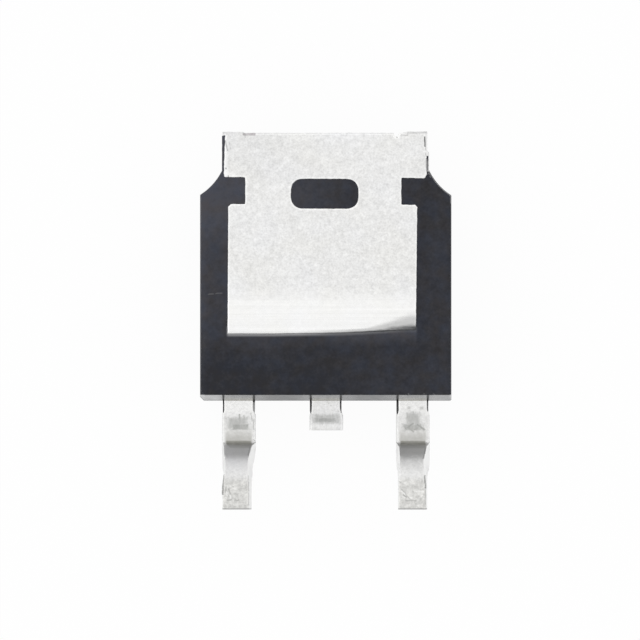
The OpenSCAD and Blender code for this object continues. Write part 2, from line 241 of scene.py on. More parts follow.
def moulding_corners(z, inset):
    """Outline of the moulding at height z as corners: straight drafted walls, a small flat at the
    lead end's corners, and a round scallop in each corner of the tab end, all set in by inset."""
    rise = abs(z - Z_NEAR)
    side = rise * (SIDE_DRAFT if z > Z_NEAR else MARK_DRAFT) + inset
    end = rise * (END_DRAFT if z > Z_NEAR else MARK_DRAFT) + inset
    half, front, rear = BODY_HIGH[0] - side, Y_FRONT + end, Y_REAR - side
    centre = np.array([BODY_HIGH[0] + SCALLOP_OUT, Y_REAR + SCALLOP_PAST])
    radius = SCALLOP_R + side
    first = np.pi + np.arccos((centre[0] - half) / radius)
    last = np.pi + np.arcsin((centre[1] - rear) / radius)
    angle = np.linspace(first, last, 25)
    arc = centre + radius * np.stack([np.cos(angle), np.sin(angle)], 1)
    rounding = np.zeros(len(arc))
    rounding[[0, -1]] = CORNER_R
    right = np.column_stack([arc, rounding])
    left = right[::-1] * [-1, 1, 1] + [0, SCALLOP_UP, 0]
    foot = [
        [-half, front + LEFT_FLAT, CORNER_R], [-half + LEFT_FLAT, front, CORNER_R],
        [half - RIGHT_FLAT, front, 0.01], [half, front + RIGHT_FLAT, 0.01],
    ]
    return np.concatenate([foot, right, left])


def moulding_surface(sizes):
    """Rings of the outline from the solder side down: a level margin, a rounded edge, the drafted
    wall with a fine ridge at the parting plane, the other wall and the marked face with the round
    ejector mark sunk in it."""
    edge, ridge = sizes.edge_radius / MM, sizes.parting_ridge / MM
    upper = quarter(edge)
    rows = [(Z_MOULD, edge + MOULD_RIM)]
    rows += [(Z_MOULD - depth, inset + ridge) for inset, depth in upper]
    rows += [(z, ridge) for z in np.linspace(Z_MOULD - 2 * edge, Z_NEAR + 0.02, 5)]
    rows += [(Z_NEAR + RIDGE_FOOT, ridge), (Z_NEAR + RIDGE, 0.0), (Z_NEAR - RIDGE, 0.0)]
    rows += [(z, ridge) for z in np.linspace(Z_NEAR - RIDGE_FOOT, 2 * edge, 5)]
    rows += [(depth, inset + ridge) for inset, depth in upper[::-1]]
    rows += [(0.0, edge + MOULD_RIM)]
    base = corners_to_loop(moulding_corners(Z_NEAR, 0))
    counts = side_counts(base, MOULD_STEP)
    loops = [cut_sides(corners_to_loop(moulding_corners(*row)), counts) for row in rows]
    rings = np.array([at_height(loop, row[0]) for loop, row in zip(loops, rows)])
    # the upper edge is a little uneven, with a few nicks along the lead end
    place = rings[4, :, 0] + 1.7 * rings[4, :, 1]
    uneven = waves(place, 5, sizes.edge_wear / MM, 0.35)
    at_front = rings[4, :, 1] < Y_FRONT + 0.25
    nicks = np.clip(waves(place, 11, 1.0, 0.22) - 1.25, 0, 1) * at_front * 0.03
    direction = outward(rings[4, :, :2])
    weight = np.array([0.0, 1.0, 1.0, 0.7, 0.3])[:, None, None]
    rings[:5, :, :2] -= weight * direction * (uneven.clip(0) + nicks)[:, None]
    # rings of the marked face that close in on the ejector mark
    centre = np.array([0, (Y_FRONT + Y_REAR) / 2])
    ray = rings[-1, :, :2] - centre
    ray /= np.linalg.norm(ray, axis=1, keepdims=True)
    radius, depth = sizes.ejector_diameter / MM / 2, EJECTOR_DEPTH
    mark = [(radius + 0.03, 0.0), (radius, EJECTOR_LIP), (radius - 0.01, depth)]
    mark += [(0.4 * radius, depth)]
    return np.concatenate([rings, [at_height(centre + ray * reach, z) for reach, z in mark]])


def sliver(x_in, x_out, y_start, y_end, z_low, z_high, seed, taper=0.0, rise=0.0):
    """Thin fin of resin left beside a strip: a box along Y whose outer face and top wander, whose
    last share, the taper, runs out to nothing, and whose lower edge climbs by the rise."""
    rows = np.linspace(0, 1, 16)
    y = y_start + (y_end - y_start) * rows
    side = np.sign(x_out - x_in)
    # seeds far enough apart for three uneven lines that don't repeat each other
    wander = waves(y, seed, 0.003, 0.25)
    fade = np.clip((1 - rows) / taper, 0.12, 1) ** 0.6 if taper else np.ones(16)
    outer = x_in + (x_out - x_in - side * np.abs(wander)) * fade
    top = z_high - np.abs(waves(y, seed + 50, 0.008, 0.2)) - 0.05 * (1 - fade)
    inner = np.full_like(y, x_in)
    low = z_low + rise * rows**1.4 + np.abs(waves(y, seed + 90, 0.02, 0.3)) * (rise > 0)
    section = [(inner, top), (outer - side * 0.008, top), (outer, top - 0.012)]
    section += [(outer, low), (inner, low)]
    return np.stack([np.stack([x, y, z], 1) for x, z in section], 1)


# Resin lines beside the lead roots: (x, side of the lead, length, width, how pale past the wall)
ROOT_LINES = [
    (-2.689, -1, 0.375, 0.03, 0.12), (-1.882, 1, 0.37, 0.048, 0.9), (-0.396, -1, 0.37, 0.046, 0.12),
    (0.398, 1, 0.395, 0.034, 0.2), (1.882, -1, 0.43, 0.048, 0.1), (2.683, 1, 0.33, 0.03, 0.4),
]
# Resin fins along the tab's sides: (inner x, outer x, upper end, seed, how pale beside the body)
TAB_FLASH = [(-2.63, -2.722, 4.838, 21, 0.04), (2.63, 2.692, 4.31, 22, 0.36)]


# Heat tab

# Corners of the tab, neck and pad as (x, y, radius), seen from the solder side
PLATE = [
    (-2.579, -0.357, 0.02), (-1.46, -0.364, 0), (-0.67, -0.342, 0), (0.1, -0.347, 0),
    (0.5, -0.332, 0), (1.0, -0.309, 0), (1.5, -0.292, 0), (1.95, -0.262, 0), (2.368, -0.252, 0.02),
    (2.402, 2.968, 0.03), (2.34, 3.033, 0.03), (1.986, 3.033, 0.04), (1.986, 3.731, 0.04),
    (2.3, 3.728, 0), (2.575, 3.716, 0.03), (2.64, 3.825, 0.02), (2.644, 3.96, 0),
    (2.648, 4.27, 0.03), (2.642, 4.35, 0.03), (2.63, 4.45, 0.02), (2.604, 4.6, 0.02),
    (2.6, 4.75, 0), (2.625, 4.88, 0), (2.628, 4.952, 0.03), (2.15, 4.95, 0.02), (1.99, 4.912, 0.02),
    (1.92, 4.905, 0.01), (1.895, 4.81, 0.02), (1.81, 4.83, 0.02), (1.775, 4.912, 0.02),
    (0.6, 4.915, 0), (-0.8, 4.911, 0), (-2.12, 4.914, 0.02), (-2.175, 4.938, 0.02),
    (-2.655, 4.941, 0.03), (-2.652, 4.862, 0.01), (-2.636, 4.835, 0.01), (-2.656, 4.48, 0),
    (-2.672, 3.88, 0.02), (-2.65, 3.752, 0.03), (-2.114, 3.749, 0.04), (-2.114, 3.052, 0.04),
    (-2.49, 3.052, 0.03), (-2.56, 2.985, 0.03),
]
SLOT = [(-0.91, 2.935, 0.34), (0.854, 2.928, 0.34), (0.854, 3.702, 0.34), (-0.91, 3.709, 0.34)]
# Line on which the two flat faces of each side meet, and the middle of the slot
SPLIT_X, SLOT_Y = -0.03, (SLOT[0][1] + SLOT[2][1]) / 2
# Depth over which stamping widens the tab's sides, where they start, and their reach by the cut
SHEAR, SIDE_X, CUT_Y, CUT_REACH = 0.16, 2.58, 4.42, 2.66
# Strap to the middle lead: start inside the moulding, slope, bend radius and offset along X
STRAP_IN, STRAP_SLOPE, STRAP_R, STRAP_X = 0.39, np.radians(60), 0.15, 0.012
# Coined lip that locks the pad into the moulding: thickness, and its corners
LIP = 0.26
LIP_LOW, LIP_HIGH = (-2.735, -0.58, Z_PLATE), (2.595, 2.97, Z_PLATE + LIP)


def plate_rows(edge):
    """Edge profile of the plate as (inset, height, share of painted highlight), from the solder
    side down.
    """
    upper, margin = quarter(edge), edge + METAL_RIM
    rows = [(margin, Z_SEAT, 0.0)]
    rows += [(inset, Z_SEAT - depth, 1.0) for inset, depth in upper]
    rows += [(0.0, Z_SEAT - SHEAR, 0.2), (0.0, Z_PLATE + 2 * edge, 0.0)]
    rows += [(inset, Z_PLATE + depth, 0.0) for inset, depth in upper[::-1]]
    return rows + [(margin, Z_PLATE, 0.0)]


def split_ends(loop):
    """Numbers of the outline's points on the split line, below and above the slot's middle."""
    away, above = np.abs(loop[:, 0] - SPLIT_X), loop[:, 1] > SLOT_Y
    return np.argmin(away + 9 * above), np.argmin(away + 9 * ~above)


def plate_surface(surface, sizes):
    """Edge profile carried along the plate's outline and along its slot, and two flat faces on
    each side that join the two. Stamping leaves the tab's sides wider below than above."""
    edge = sizes.plate_edge / MM
    rows = plate_rows(edge)
    rings = []
    for corners, sign in ((PLATE, 1), (SLOT, -1)):
        steps = 6 if sign > 0 else 14
        base = corners_to_loop(corners, steps)
        counts = side_counts(base, METAL_STEP)
        loop = cut_sides(base, counts)
        place = loop[:, 0] * 1.3 + loop[:, 1]
        wander = outward(loop) * waves(place, 3, sizes.edge_wear / MM, 0.3)[:, None] * 0.6
        across = np.abs(loop[:, 0])
        by_cut = (loop[:, 0] > 0) & (loop[:, 1] > CUT_Y)
        reach = np.where(by_cut, CUT_REACH, TAB_HIGH[0] - 0.004)
        flare = (across > SIDE_X) * np.sign(loop[:, 0]) * (reach - across)
        grid = []
        for inset, z, _ in rows:
            ring = cut_sides(corners_to_loop(set_in(corners, sign * inset), steps), counts) + wander
            ring[:, 0] += flare * np.clip((Z_SEAT - z) / SHEAR, 0, 1)
            grid.append(at_height(ring, z))
        index = surface.add_points(np.array(grid), [[row[2]] for row in rows])
        surface.add_quads(index)
        rings.append((loop, index))
    (outer, outer_index), (slot, slot_index) = rings
    (low_out, high_out), (low_slot, high_slot) = split_ends(outer), split_ends(slot)
    for row in (0, -1):
        for begin, end, from_slot, to_slot in (
            (low_out, high_out, high_slot, low_slot),
            (high_out, low_out, low_slot, high_slot),
        ):
            out = outer_index[row][around(begin, end, len(outer), 1)]
            back = slot_index[row][around(from_slot, to_slot, len(slot), -1)]
            surface.add_face(np.concatenate([out, back]))


def block(low, high):
    """Plain box as two rings, for what the moulding hides."""
    (left, front, bottom), (right, back, top) = low, high
    corners = [(left, front), (right, front), (right, back), (left, back)]
    return np.array([at_height(corners, z) for z in (bottom, top)])


# Bent strips


def step_face(start, angle, first, second, depth):
    """One face of a strip that steps up by the lead drop, as (distance, height): an arc of the
    first bend, the slope, and an arc of the second bend back to level."""
    both = first + second + STRIP
    reach = both * np.sin(angle) + (LEAD_DROP - both * (1 - np.cos(angle))) / np.tan(angle)
    turn = np.linspace(0, angle, 12)
    rise = np.stack([np.sin(turn), -np.cos(turn)], 1) * (first + depth)
    level = np.stack([-np.sin(turn[::-1]), np.cos(turn[::-1])], 1) * (second + STRIP - depth)
    one = np.add(start, [0, first]) + rise
    two = np.add(start, [reach, LEAD_DROP - second - STRIP]) + level
    slope = one[-1] + np.linspace(0, 1, 5)[1:-1, None] * (two[0] - one[-1])
    return np.concatenate([one, slope, two])


def rounded_end(end, height_near, height_far, edge):
    """Last points of the two faces, which turn into the cut end with rounded edges."""
    turn = quarter(edge)
    near = np.stack([end - turn[:, 0], height_near - turn[:, 1]], 1)
    far = np.stack([end - turn[:, 0], height_far + turn[:, 1]], 1)
    return near, far


def strip_surface(near, far, x_centre, widths, edge, seed):
    """Strip of metal: a section with rounded edges carried along the near and far faces, which are
    given as (distance out of the lead end, height). widths holds (distance, near left, near
    right, far left, far right), all measured from the strip's centre line."""
    table, out = np.array(widths).T, near[:, 0]
    edges = [np.interp(out, table[0], column) for column in table[1:]]
    for number in (0, 1):
        edges[number] = edges[number] + waves(out, seed + number, 0.004, 0.2)
    turn, margin = quarter(edge), edge + METAL_RIM
    # columns of the section: first edge of its face, inset, depth and share of painted highlight
    half = [(0, margin, 0.0, 0.0)]
    half += [(0, inset, depth, 1.0) for inset, depth in turn]
    half += [(2, inset, STRIP - depth, 0.0) for inset, depth in turn[::-1]]
    half += [(2, margin, STRIP, 0.0)]
    grid, wear, front = [], [], []
    for right, column in [(0, c) for c in half] + [(1, c) for c in half[::-1]]:
        face, inset, depth, highlit = column
        x = x_centre + edges[face + right] + (-inset if right else inset)
        spot = near + (far - near) * (depth / STRIP)
        grid.append(np.column_stack([x, Y_FRONT - spot[:, 0], spot[:, 1]]))
        wear.append(highlit)
        front.append(max(1 - 2 * depth / edge, 0.0))
    return np.stack(grid, 1), wear, front


def lead_faces(sizes):
    """Near and far face of an outer lead in side view, from inside the moulding to the tip."""
    angle = sizes.lead_slope
    crease, heel = sizes.crease_radius / MM, sizes.heel_radius / MM
    start = [sizes.crease_out / MM, Z_NEAR]
    near_end, far_end = rounded_end(LEAD_OUT, Z_SEAT, Z_PLATE, sizes.plate_edge / MM)
    flat = np.linspace(-POST_IN[0] - 0.02, start[0] - 0.05, 14)
    foot = np.array([0.25, 0.5, 0.75])[:, None]
    faces = []
    for depth, level, end in ((0, Z_NEAR, near_end), (STRIP, Z_FAR, far_end)):
        bend = step_face(start, angle, crease, heel, depth)
        on_foot = bend[-1] + foot * (end[0] - bend[-1])
        faces.append(np.concatenate([at_height(flat, level), bend, on_foot, end]))
    return faces


def strap_faces(sizes):
    """Upper and lower face of the middle lead: a step down from the pad, then level to its end."""
    start = [Y_FRONT + STRAP_IN, -Z_PLATE]
    near_end, far_end = rounded_end(STUB_OUT, Z_NEAR, Z_FAR, sizes.plate_edge / MM)
    faces = []
    for depth, end in ((STRIP, near_end), (0, far_end)):
        bend = step_face(start, STRAP_SLOPE, STRAP_R, STRAP_R, depth) * [1, -1]
        bend[:, 1] = np.minimum(bend[:, 1], Z_PLATE + LIP)
        level_part = bend[-1] + np.linspace(0, 1, 9)[1:-1, None] * (end[0] - bend[-1])
        faces.append(np.concatenate([bend, level_part, end]))
    return faces


# Bond post inside the moulding: width beside the lead's root, its near and far end, and its hole
ROOT_W, POST_W, POST_IN, HOLE_R = 0.84, 1.45, (0.6, 1.35), 0.18
# Distance out, then left and right edge of the near face and of the far face, for each lead
INSIDE = [(-0.7, -0.42, 0.42, -0.42, 0.42), (-0.05, -0.42, 0.42, -0.42, 0.42)]
PIN_1_WIDTHS = INSIDE + [
    (0.0, -0.38, 0.381, -0.4, 0.4), (0.3, -0.38, 0.381, -0.4, 0.4),
    (0.36, -0.418, 0.44, -0.44, 0.445), (1.02, -0.42, 0.442, -0.44, 0.448),
    (1.1, -0.432, 0.449, -0.44, 0.449), (1.2, -0.366, 0.372, -0.43, 0.44),
    (1.3, -0.353, 0.36, -0.425, 0.43), (1.4, -0.345, 0.32, -0.415, 0.42),
    (1.52, -0.336, 0.288, -0.405, 0.405), (1.71, -0.348, 0.288, -0.398, 0.393),
    (1.92, -0.369, 0.302, -0.395, 0.385), (2.08, -0.38, 0.333, -0.39, 0.375),
    (2.85, -0.384, 0.352, -0.388, 0.374),
]
PIN_3_WIDTHS = INSIDE + [
    (0.0, -0.388, 0.38, -0.4, 0.4), (0.3, -0.388, 0.38, -0.4, 0.4),
    (0.36, -0.424, 0.442, -0.44, 0.445), (1.02, -0.428, 0.444, -0.44, 0.448),
    (1.1, -0.438, 0.449, -0.44, 0.449), (1.18, -0.394, 0.348, -0.43, 0.385),
    (1.33, -0.392, 0.308, -0.422, 0.366), (1.42, -0.374, 0.278, -0.41, 0.362),
    (1.55, -0.36, 0.25, -0.4, 0.362), (1.71, -0.362, 0.232, -0.395, 0.368),
    (1.92, -0.39, 0.234, -0.4, 0.366), (2.08, -0.413, 0.264, -0.416, 0.345),
    (2.2, -0.428, 0.267, -0.434, 0.342), (2.45, -0.44, 0.27, -0.444, 0.34),
    (2.56, -0.418, 0.272, -0.42, 0.34), (2.85, -0.418, 0.279, -0.42, 0.338),
]
STUB_WIDTHS = [
    (-1.8, -0.45, 0.45, -0.45, 0.45), (-0.4, -0.45, 0.45, -0.45, 0.45),
    (-0.05, -0.42, 0.42, -0.42, 0.42), (0.0, -0.384, 0.369, -0.4, 0.39),
    (0.32, -0.384, 0.369, -0.4, 0.39), (0.4, -0.418, 0.436, -0.44, 0.445),
    (0.78, -0.42, 0.438, -0.44, 0.445),
]


def post_surface(surface, side):
    """Bond post with its locking hole: the post's outline joined to the hole round by round."""
    centre = np.array([side * (LEAD_PITCH + (ROOT_W - POST_W) / 2), Y_FRONT + sum(POST_IN) / 2])
    half = np.array([POST_W, POST_IN[1] - POST_IN[0]]) / 2
    loop = centre + half * [[-1, -1], [1, -1], [1, 1], [-1, 1]]
    loop = cut_sides(loop, side_counts(loop, MOULD_STEP))
    ray = loop - centre
    hole = centre + ray / np.linalg.norm(ray, axis=1, keepdims=True) * HOLE_R
    rings = [(loop, Z_NEAR), (loop, Z_FAR), (hole, Z_FAR), (hole, Z_NEAR)]
    index = surface.add_points(np.array([at_height(*ring) for ring in rings]))
    surface.add_quads(np.concatenate([index, index[:1]]))


# Materials


def maths(operation, swapped=False):
    """Method that makes a Math node of its numbers, in the other order if swapped."""

    def method(self, *others):
        numbers = (*others, self) if swapped else (self, *others)
        made = self.graph.node("Math", {"operation": operation}, dict(enumerate(numbers)))
        return Field(self.graph, made.outputs[0])

    return method


class Field:
    """A number that varies over a surface. Sums written on it become Math nodes."""

    def __init__(self, graph, socket):
        self.graph, self.socket = graph, socket

    __add__ = __radd__ = maths("ADD")
    __mul__ = __rmul__ = maths("MULTIPLY")
    __sub__, __rsub__ = maths("SUBTRACT"), maths("SUBTRACT", swapped=True)
    __truediv__, __abs__ = maths("DIVIDE"), maths("ABSOLUTE")
    largest, smallest = maths("MAXIMUM"), maths("MINIMUM")

    def step(self, low, high, to_low=0.0, to_high=1.0):
        """Smooth step from to_low to to_high as the number goes from low to high."""
        ends = {"From Min": low, "From Max": high, "To Min": to_low, "To Max": to_high}
        settings = {"interpolation_type": "SMOOTHSTEP"}
        made = self.graph.node("MapRange", settings, {"Value": self, **ends})
        return Field(self.graph, made.outputs[0])


class Graph:
    """Nodes of one material or world, and the colour that its layers have built up so far."""

    def __init__(self, owner):
        owner.use_nodes = True
        self.owner, self.tree = owner, owner.node_tree
        self.tree.nodes.clear()

    def node(self, kind, settings=None, inputs=None):
        """Adds a shader node, sets it, and fills its sockets with numbers, colours or links."""
        made = self.tree.nodes.new("ShaderNode" + kind)
        for key, value in (settings or {}).items():
            setattr(made, key, value)
        for key, value in (inputs or {}).items():
            value, socket = getattr(value, "socket", value), made.inputs[key]
            if isinstance(value, bpy.types.NodeSocket):
                self.tree.links.new(value, socket)
            elif socket.type == "RGBA":
                socket.default_value = (*value[:3], 1)
            else:
                socket.default_value = value
        return made

    def place(self):
        """Keeps the object coordinates in millimetres, and gives them as x, y and z."""
        self.vector = self.scale(self.node("TexCoord").outputs["Object"], 1 / MM)
        parts = self.node("SeparateXYZ", None, {0: self.vector}).outputs
        self.x, self.y, z = (Field(self, part) for part in parts)
        return self.x, self.y, z

    def noise(self, scale, detail, roughness, stretch=None, turn=0.0, distortion=0.0):
        """Cloudy noise about zero, with so many cells to the millimetre. Streaks come from a place
        that is stretched along the axes and turned about Z."""
        vector = self.vector
        if stretch:
            inputs = {"Vector": vector, "Scale": stretch, "Rotation": (0, 0, turn)}
            vector = self.node("Mapping", {"vector_type": "POINT"}, inputs).outputs[0]
        inputs = {"Vector": vector, "Scale": scale, "Detail": detail, "Roughness": roughness}
        made = self.node("TexNoise", None, {**inputs, "Distortion": distortion})
        return Field(self, made.outputs[0]) - 0.5

    def patch(self, spot, size, turn):
        """Frayed patch about a spot: 1 inside and 0 outside, with noise on its outline."""
        away = (abs(self.x - spot[0]) / size[0]).largest(abs(self.y - spot[1]) / size[1])
        ragged = self.noise(8, 4, 0.75, (1.0, 0.6, 1.0), turn) * 1.2
        return (away + ragged).step(1.3, 0.55)

    def mix(self, first, second, share):
        """Colour between two colours."""
        inputs = {0: share, 6: first, 7: second}
        return self.node("Mix", {"data_type": "RGBA", "clamp_factor": True}, inputs).outputs[2]

    def lay(self, colour, share):
        """Lays a colour, or a grey given as one number, over the colour so far."""
        self.colour = self.mix(self.colour, np.broadcast_to(colour, 3).tolist(), share)

    def scale(self, vector, level):
        """Vector or colour times a number."""
        inputs = {0: vector, "Scale": level}
        return self.node("VectorMath", {"operation": "SCALE"}, inputs).outputs[0]

    def attribute(self, name):
        """Number stored on the mesh's points."""
        settings = {"attribute_name": name, "attribute_type": "GEOMETRY"}
        return Field(self, self.node("Attribute", settings).outputs["Fac"])

    def surface(self, roughness, metallic, height, bump, **fixed):
        """Principled shader of the colour so far on the output, with its relief in a Bump node."""
        relief = {"Height": height, "Strength": 1.0, "Distance": bump}
        normal = self.node("Bump", None, relief).outputs[0]
        inputs = {"Base Color": self.colour, "Roughness": roughness, "Metallic": metallic}
        shader = self.node("BsdfPrincipled", None, {**inputs, **fixed, "Normal": normal})
        self.node("OutputMaterial", None, {"Surface": shader.outputs[0]})
        return self.owner


def material(name):
    return Graph(bpy.data.materials.new(name))


def pad_end(x):
    """Height in the picture, along Y, at which the pad's lower edge meets the moulding."""
    return -0.352 + x.step(-1.5, -0.6) * 0.012 + x.step(0.1, 2.2) * 0.09


def largest(masks):
    """Largest of several masks."""
    return reduce(Field.largest, masks)


def stroke(x, y, mark):
    """Straight mark given as (x, y, x, y, width, strength): its strength on the line between the
    two points, and 0 from its width on."""
    *ends, width, strength = mark
    start, end = np.reshape(ends, (2, 2))
    half = float(np.hypot(*(end - start)) / 2)
    run_x, run_y = ((end - start) / (2 * half)).tolist()
    mid_x, mid_y = ((start + end) / 2).tolist()
    along = (x - mid_x) * run_x + (y - mid_y) * run_y
    across = (y - mid_y) * run_x - (x - mid_x) * run_y
    return (abs(along) - half).largest(abs(across)).step(width, width * 0.3) * strength


def strokes(x, y, marks):
    """Largest of several straight marks."""
    return largest([stroke(x, y, mark) for mark in marks])


# Small light chips along the moulding's upper edge, and flash beside the right scallop
EDGE_SPECKS = [
    (2.166, -1.922, 2.182, -1.95, 0.022, 0.28), (2.568, -1.915, 2.59, -1.925, 0.018, 0.2),
    (2.828, -1.93, 2.85, -1.95, 0.02, 0.26), (-3.285, -1.19, -3.28, -1.215, 0.022, 0.26),
    (-1.3, -1.945, -1.27, -1.95, 0.018, 0.16), (0.9, -1.945, 0.94, -1.952, 0.018, 0.14),
    (2.662, 3.93, 2.676, 3.905, 0.018, 0.9), (2.694, 3.856, 2.708, 3.832, 0.016, 0.7),
    (2.728, 3.784, 2.746, 3.752, 0.016, 0.5), (3.245, 3.3, 3.262, 3.268, 0.022, 0.5),
]


def epoxy_material(finish):
    """Black-grey filled epoxy: matt mottling with faint blue and brown clouds, painted light that
    makes it lighter to the upper left, a smoother and glossier lead end wall, and dark weld lines
    where the leads leave it."""
    g = material("Filled epoxy")
    x, y, z = g.place()
    cloud = g.noise(1.1, 2, 0.5)
    blot = g.noise(5.0, 3, 0.65)
    grit = g.noise(16, 2, 0.6)
    solder_side = z.step(2.0, 2.2)
    tint = g.noise(2.2, 2, 0.55) * (1.0 + solder_side * 2.2) + 0.5
    # share of the lighter tone: random clouds, blots and grit, painted light that makes it lighter
    # towards the upper left and a little to the right, and a light strip below the pad
    rise = y.step(-1.6, 0.6, 0.0, 0.5) + y.step(1.4, 3.0, 0.0, 0.5)
    light = 0.07 + x.step(-0.5, 2.2) * 0.15 + rise * x.step(2.0, -2.9) * 0.85
    light = light + x.step(-3.08, -3.2) * 0.15 + cloud * 0.36 + blot * 0.85 + grit * 0.4
    below = pad_end(x) - y
    strip = abs(x + 0.1).step(2.52, 2.44) * y.step(-0.12, -0.2) * solder_side
    light = light + below.step(0.45, 0.1) * x.step(-0.6, 1.0, 0.15, 0.5) * strip
    low = g.mix((0.0088, 0.0082, 0.0108), (0.0058, 0.0083, 0.017), tint)
    high = g.mix((0.0515, 0.049, 0.0565), (0.0445, 0.0495, 0.0685), tint)
    g.colour = g.mix(low, high, light)
    # resin so thin that the pad shines through it
    glow = below.step(0.1, -0.01) * x.step(-0.9, 0.4, 0.95, 0.38) * x.step(1.5, 2.2, 1.0, 0.4)
    g.lay((0.39, 0.39, 0.4), glow * strip)
    # a short fine scratch beside the pad, and the chips on the edges
    line = y - 0.705 - (x + 2.87) * 0.1 - g.noise(5, 2, 0.6) * 0.06
    scratch = abs(line).step(0.022, 0.008) * abs(x + 2.9).step(0.22, 0.16)
    scratch = scratch * g.noise(14, 1, 0.5).step(-0.12, 0.05) * 0.22
    g.lay(0.28, scratch.largest(strokes(x, y, EDGE_SPECKS)) * solder_side)
    # lead end wall above the parting plane, glossy at its ends and high above the leads
    wall = y.step(Y_FRONT + 0.165, Y_FRONT + 0.15) * z.step(Z_NEAR - 0.02, Z_NEAR)
    weld = largest([abs(x - line[0]).step(0.03, 0.014) for line in ROOT_LINES])
    over = largest([abs(x - lead).step(0.46, 0.28) for lead in (-LEAD_PITCH, 0.0, LEAD_PITCH)])
    clean, lower = wall * (1 - weld), z.step(1.9, 1.4)
    middle = (1 - abs(abs(x) - 1.15).step(0.15, 0.75)) * 0.06
    gloss = 0.14 + x.step(-2.5, -2.9) * 0.56 + x.step(2.5, 2.9) * 0.22
    gloss = gloss + over * (0.28 + x.step(-1.5, 2.0) * 0.08) - middle
    g.lay(0.01, wall * weld)
    g.lay((0.094, 0.083, 0.038), clean * over * lower)
    # thin fins, paler past the wall
    g.lay(0.5, g.attribute("wear"))
    side = z.step(Z_MOULD - 0.004, Z_MOULD - 0.02) * (1 - wall)
    side = side * (1 - x.step(2.5, 2.6) * y.step(3.0, 3.1))
    roughness = 0.5 + blot * 0.12 + grit * 0.06 + side * 0.42
    roughness = roughness - clean * (0.25 - middle + blot * 0.2)
    height = (grit + blot * 0.5) * (1 - clean * 0.85)
    coat = {"Coat Roughness": 0.12, "Coat Weight": clean * gloss * (1 + blot)}
    fixed = {"Specular IOR Level": 0.3, **coat}
    return g.surface(roughness, 0.0, height, finish.epoxy_relief, **fixed)


def tin_base(g):
    """Matt tin plate: mottled grain, fine grain, faint clouds, and how light they make it."""
    grain = g.noise(8.5, 3, 0.65, distortion=0.3)
    fine = g.noise(22, 2, 0.6)
    cloud = g.noise(0.9, 2, 0.5)
    return grain, fine, cloud, 1.0 + grain * 0.5 + fine * 0.42 + cloud * 0.06


def tab_material(finish):
    """Tin on the heat tab: grain, painted white highlights on the rims, a burnished band at the
    pad's lower end, and a grey layer over its lower edge that is resin crept over it and painted
    shade."""
    g = material("Tin on heat tab")
    x, y, z = g.place()
    grain, fine, cloud, level = tin_base(g)
    on_pad = z.step(2.0, 2.2)
    # burnished band, with streaks across the pad
    edge = y + g.noise(2.4, 3, 0.6, (0.25, 1.6, 1)) * 0.35 + x * 0.02
    burnish = edge.step(1.0, 0.25) * on_pad * finish.burnish
    streak = g.noise(1.1, 3, 0.6, (0.12, 14, 1))
    level = level + burnish * (0.11 - grain * 0.38 - fine * 0.3 + streak * 0.25)
    # painted highlight on the rounded rims; off the solder face the tin is lighter, except at the
    # middle lead's outer end
    level = level + g.attribute("wear") * 0.16 + (1 - on_pad) * y.step(-2.42, -2.25) * 0.1
    # the tab's left part is a little darker, but lighter at its lower corner
    darker = 0.03 - x.step(-2.15, -2.6) * y.step(4.15, 3.8) * 0.11
    level = level - x.step(-0.7, -1.4) * y.step(3.6, 3.8) * darker
    tone = g.mix(finish.tin, (0.796, 0.798, 0.803), cloud * 2.2 + 0.4)
    g.colour = g.scale(tone, level)
    # resin bleed and painted shade: a grey layer that thickens to the lower edge, wider at the
    # right
    width = 0.05 + x.step(-0.9, 0.3) * 0.035 + x.step(0.9, 2.85) * 0.36
    fray = g.noise(3.4, 4, 0.7, (0.5, 2.4, 1), 0.2) * 0.62
    depth = (y - pad_end(x)) / width + fray
    bleed_and_shade = depth.step(0.54, 0.0) * 0.62 + depth.step(1.45, 0.6) * x.step(-1.0, 1.2, 0.12, 0.38)
    bleed_and_shade = bleed_and_shade * on_pad
    g.lay((0.05, 0.051, 0.055), bleed_and_shade)
    # bright flanks, scuffs and a dull dash at the tab's corners, and marks on the middle lead
    flank = x.step(-2.53, -2.64) * y.step(4.78, 4.5) * y.step(3.7, 3.8)
    flank = flank.largest(x.step(2.625, 2.64) * y.step(4.38, 4.44))
    g.lay(0.93, flank * 0.8)
    cut = y.step(4.882, 4.902) * (0.42 + g.noise(5, 2, 0.6))
    g.lay((0.5, 0.5, 0.51), cut.smallest(0.5))
    on_face = z.step(Z_SEAT - 0.08, Z_SEAT - 0.03)
    dash = abs(x + 2.005).step(0.18, 0.145) * abs(y - 4.88).step(0.044, 0.026)
    g.lay((0.43, 0.4, 0.415), dash * (0.72 + grain * 1.8) * on_face)
    shake = g.noise(10, 2, 0.6) * 0.03
    scuffs = strokes(x + shake, y - shake, TAB_SCUFFS)
    g.lay(0.13, scuffs * on_face.largest(1 - on_pad))
    rub = g.patch((0.007, -2.59), (0.37, 0.125), 0.0) * 0.7
    rub = rub.largest(g.patch((0.007, -2.62), (0.33, 0.06), 1.0))
    rub = rub * z.step(1.6, 1.4) * (0.95 + g.noise(7, 3, 0.7, (2, 0.8, 1)))
    g.lay((0.4, 0.405, 0.395), rub)
    roughness = 0.4 + grain * 0.25 - burnish * 0.12 + bleed_and_shade * 0.1
    height = (grain + fine * 0.7) * (1 - burnish * 0.85)
    return g.surface(roughness, 1.0 - bleed_and_shade * 0.8, height, finish.tin_relief)


